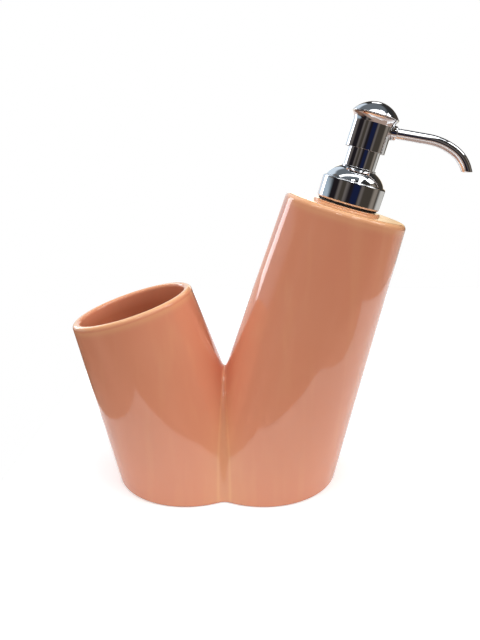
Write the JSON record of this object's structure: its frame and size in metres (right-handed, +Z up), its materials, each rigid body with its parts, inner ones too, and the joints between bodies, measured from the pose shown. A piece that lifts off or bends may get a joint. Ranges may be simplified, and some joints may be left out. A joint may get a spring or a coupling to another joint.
{
  "type": "soap dispenser",
  "caption": "Ceramic V of two leaning round vessels on one foot: an open cup for toothbrushes and a taller soap tank with a chromed lotion pump and a curved spout",
  "frame": {"origin": "on the surface that the dispenser stands on, in the middle of its foot, where the two legs' front and back creases reach it", "axes": "+X towards the soap tank and the spout, +Z up, -Y towards the viewer of the picture"},
  "size_m": [0.2115, 0.0824, 0.2049],
  "materials": {
    "glaze": "glossy peach glaze, paler where it thins at the edges",
    "chrome": "mirror-polished plating",
    "steel": "bright drawn wire and balls",
    "white_plastic": "plain moulded",
    "clear_plastic": "milky, half clear",
    "black_rubber": "matt"
  },
  "bodies": {
    "bottle": {"ceramic_body": "glaze", "neck_insert": "white_plastic", "base_gasket": "black_rubber"},
    "pump": {"pump_chamber": "clear_plastic", "neck_seal": "black_rubber", "stem_guide": "white_plastic", "riser_sleeve": "chrome", "dip_tube": "clear_plastic", "inlet_ball": "steel", "return_spring": "steel"},
    "collar": {"collar_shell": "chrome", "collar_liner": "white_plastic"},
    "plunger": {"piston": "clear_plastic", "spring_seat": "white_plastic"},
    "head": {"stem": "white_plastic", "outlet_ball": "steel", "head_core": "white_plastic", "head_barrel": "chrome", "head_cap": "chrome", "spout": "chrome", "spout_ferrule": "chrome"}
  },
  "joints": [
    {"name": "pump_lift", "type": "slide", "parent": "bottle", "child": "pump", "axis": [0.274, 0, 0.9617], "range_m": [0, 0.165]},
    {"name": "collar_turn", "type": "hinge", "parent": "pump", "child": "collar", "pos_m": [0.06531, 0, 0.15311], "axis": [0.274, 0, 0.9617], "continuous": true},
    {"name": "pump_press", "type": "slide", "parent": "pump", "child": "plunger", "axis": [0.274, 0, 0.9617], "range_m": [-0.0066, 0], "stiffness_N_per_m": 600, "springref_m": 0.01, "deforming": ["return_spring"]},
    {"name": "head_swivel", "type": "hinge", "parent": "plunger", "child": "head", "pos_m": [0.06531, 0, 0.15311], "axis": [0.274, 0, 0.9617], "continuous": true}
  ]
}
